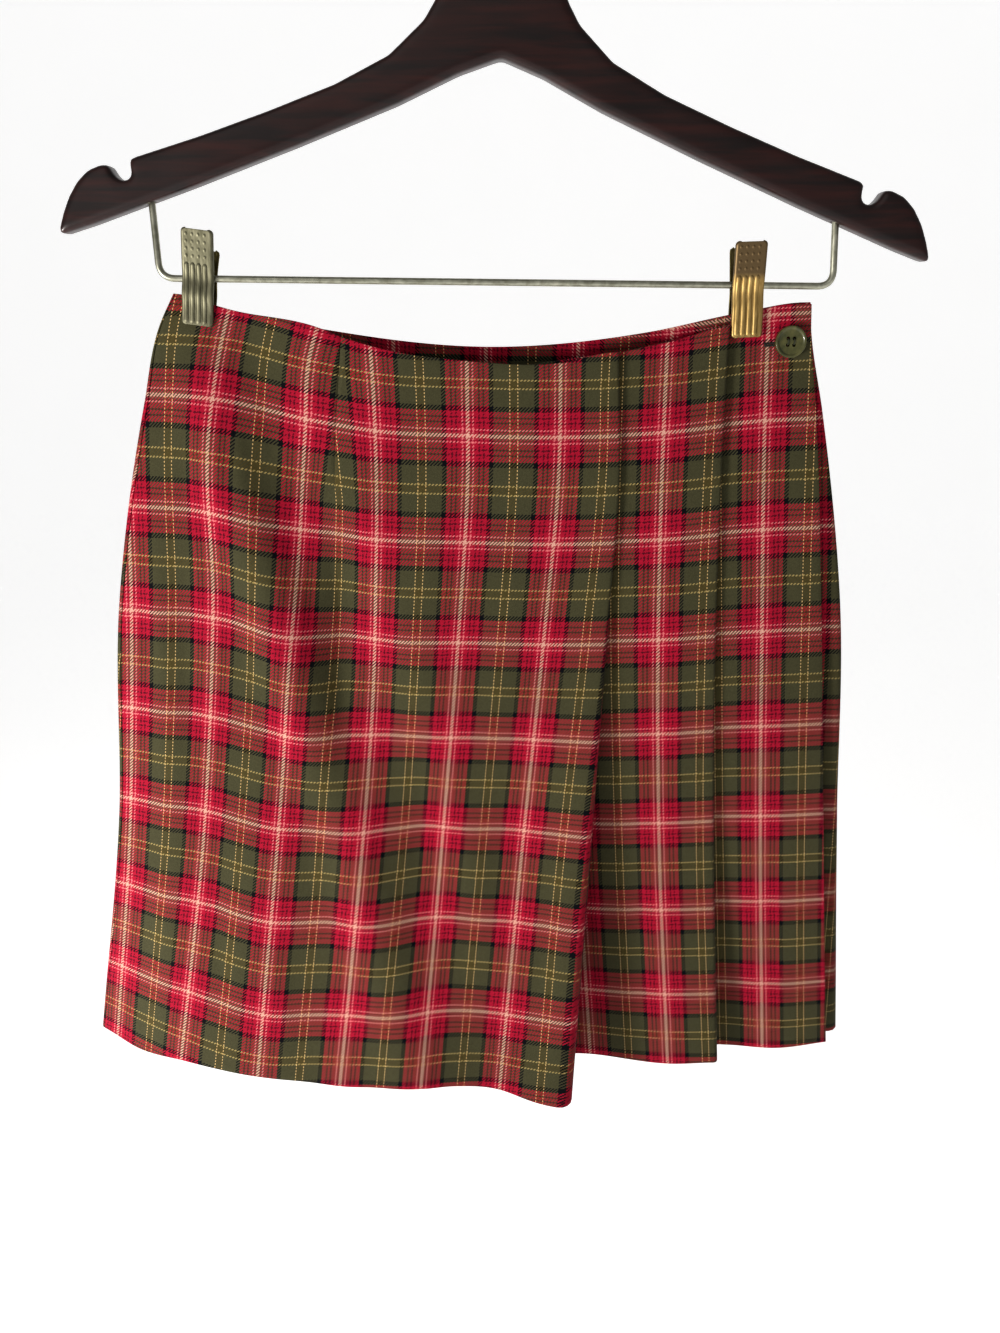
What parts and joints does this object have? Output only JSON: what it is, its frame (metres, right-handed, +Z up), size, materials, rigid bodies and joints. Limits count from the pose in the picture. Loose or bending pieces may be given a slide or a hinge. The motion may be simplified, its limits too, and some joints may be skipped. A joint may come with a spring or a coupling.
{
  "type": "tartan mini skirt on a clip hanger",
  "caption": "Kilt-style wrap mini skirt in red and olive tartan, held at its waist by the two clips of a wooden hanger with a wire trouser bar and hook.",
  "frame": {"origin": "inner top of the hanger's hook, on the middle plane of the hanger, where a rail carries it", "axes": "+Z up; -Y is the wearer's front, with the wrap edge and the button; +X to the right of someone who looks at the front"},
  "size_m": [0.4876, 0.0882, 0.6928],
  "materials": {
    "tartan": "soft wool twill, matt",
    "button": "satin",
    "dark_wood": "lacquered",
    "wire": "polished",
    "clip_steel": "satin",
    "clip_brass": "satin",
    "rubber": "matt"
  },
  "bodies": {
    "root": {"front_apron": "tartan", "back_panel": "tartan", "button": "button", "hanger_wood": "dark_wood", "hanger_hook": "wire", "hanger_bar": "wire", "clip_left_front": "clip_steel", "clip_left_back": "clip_steel", "clip_left_pad_front": "rubber", "clip_left_pad_back": "rubber", "clip_left_spring": "wire", "clip_right_front": "clip_brass", "clip_right_back": "clip_steel", "clip_right_pad_front": "rubber", "clip_right_pad_back": "rubber", "clip_right_spring": "wire"}
  },
  "joints": []
}
